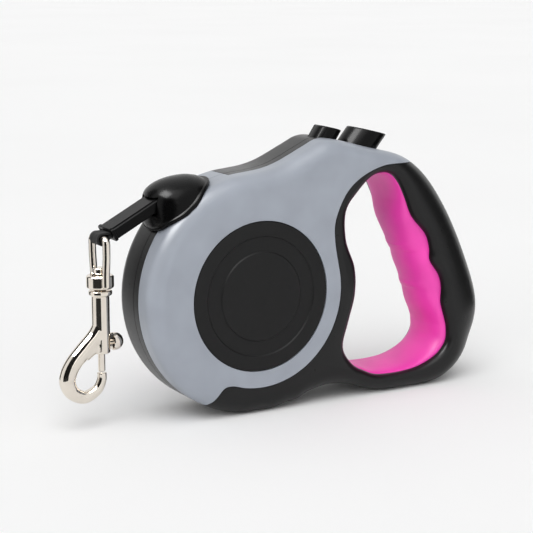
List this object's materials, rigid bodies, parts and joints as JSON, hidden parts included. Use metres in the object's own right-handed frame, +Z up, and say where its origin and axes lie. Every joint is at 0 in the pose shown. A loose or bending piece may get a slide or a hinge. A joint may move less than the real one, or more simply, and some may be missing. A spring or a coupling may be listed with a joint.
{
  "type": "retractable leash",
  "caption": "Retractable tape leash: flat round reel case running into a loop handle with a soft grip, thumb brake and lock buttons, tape outlet and a swivelling bolt snap.",
  "frame": {"origin": "under the middle of the leash's bounding box, on the plane that the handle's foot and the reel case stand on", "axes": "+X from the snap to the back of the handle, +Y through the thickness to the side with the screw heads, +Z up"},
  "size_m": [0.2048, 0.034, 0.1195],
  "materials": {
    "black_plastic": "fine satin texture",
    "gloss_black_plastic": "semi-gloss",
    "grey_plastic": "satin",
    "pink_rubber": "soft matte",
    "black_webbing": "woven",
    "nickel_plate": "polished plate",
    "spring_steel": "drawn",
    "natural_plastic": "as moulded"
  },
  "bodies": {
    "housing": {"left_shell": "black_plastic", "right_shell": "black_plastic", "left_cover": "grey_plastic", "right_cover": "grey_plastic", "left_disc": "black_plastic", "right_disc": "black_plastic", "grip": "pink_rubber", "nose": "gloss_black_plastic", "guide_pin": "spring_steel", "reel_axle": "spring_steel", "tape_lead": "black_webbing", "brake_spring": "spring_steel", "lock_spring": "spring_steel", "case_screw_1": "spring_steel", "case_screw_2": "spring_steel", "case_screw_3": "spring_steel", "case_screw_4": "spring_steel"},
    "reel": {"reel_drum": "natural_plastic", "reel_lid": "natural_plastic", "wound_tape": "black_webbing", "mainspring": "spring_steel"},
    "brake": {"brake_button": "gloss_black_plastic"},
    "lock": {"lock_button": "gloss_black_plastic"},
    "tape_end": {"tape_sleeve": "black_plastic", "tape_loop": "black_webbing"},
    "eye": {"swivel_eye": "nickel_plate"},
    "hook": {"hook_body": "nickel_plate", "bolt_spring": "spring_steel"},
    "bolt": {"snap_bolt": "nickel_plate"}
  },
  "joints": [
    {"name": "tape_draw", "type": "slide", "parent": "housing", "child": "tape_end", "axis": [-0.8854, 0, -0.4648], "range_m": [0, 0.1313], "stiffness_N_per_m": 10, "springref_m": -0.4, "deforming": ["tape_lead"]},
    {"name": "reel_spin", "type": "hinge", "parent": "housing", "child": "reel", "pos_m": [-0.01751, 0, 0.051], "axis": [0, -1, 0], "range_deg": [0, 180.5], "deforming": ["mainspring"]},
    {"name": "brake_press", "type": "slide", "parent": "housing", "child": "brake", "axis": [-0.6428, 0, -0.766], "range_m": [0, 0.003], "stiffness_N_per_m": 800, "springref_m": -0.003, "deforming": ["brake_spring"]},
    {"name": "lock_press", "type": "slide", "parent": "housing", "child": "lock", "axis": [-0.5592, 0, -0.829], "range_m": [0, 0.0025], "stiffness_N_per_m": 800, "springref_m": -0.003, "deforming": ["lock_spring"]},
    {"name": "hook_swing", "type": "hinge", "parent": "tape_end", "child": "eye", "pos_m": [-0.08385, 0, 0.07933], "axis": [0, 1, 0], "range_deg": [-2, 120]},
    {"name": "swivel_spin", "type": "hinge", "parent": "eye", "child": "hook", "pos_m": [-0.08385, 0, 0.06133], "axis": [0, 0, 1], "continuous": true},
    {"name": "bolt_slide", "type": "slide", "parent": "hook", "child": "bolt", "axis": [0, 0, 1], "range_m": [0, 0.009], "stiffness_N_per_m": 300, "springref_m": -0.004, "deforming": ["bolt_spring"]}
  ],
  "couplings": [
    {"joint": "reel_spin", "follows": "tape_draw", "rad_per_m": 23.923}
  ]
}
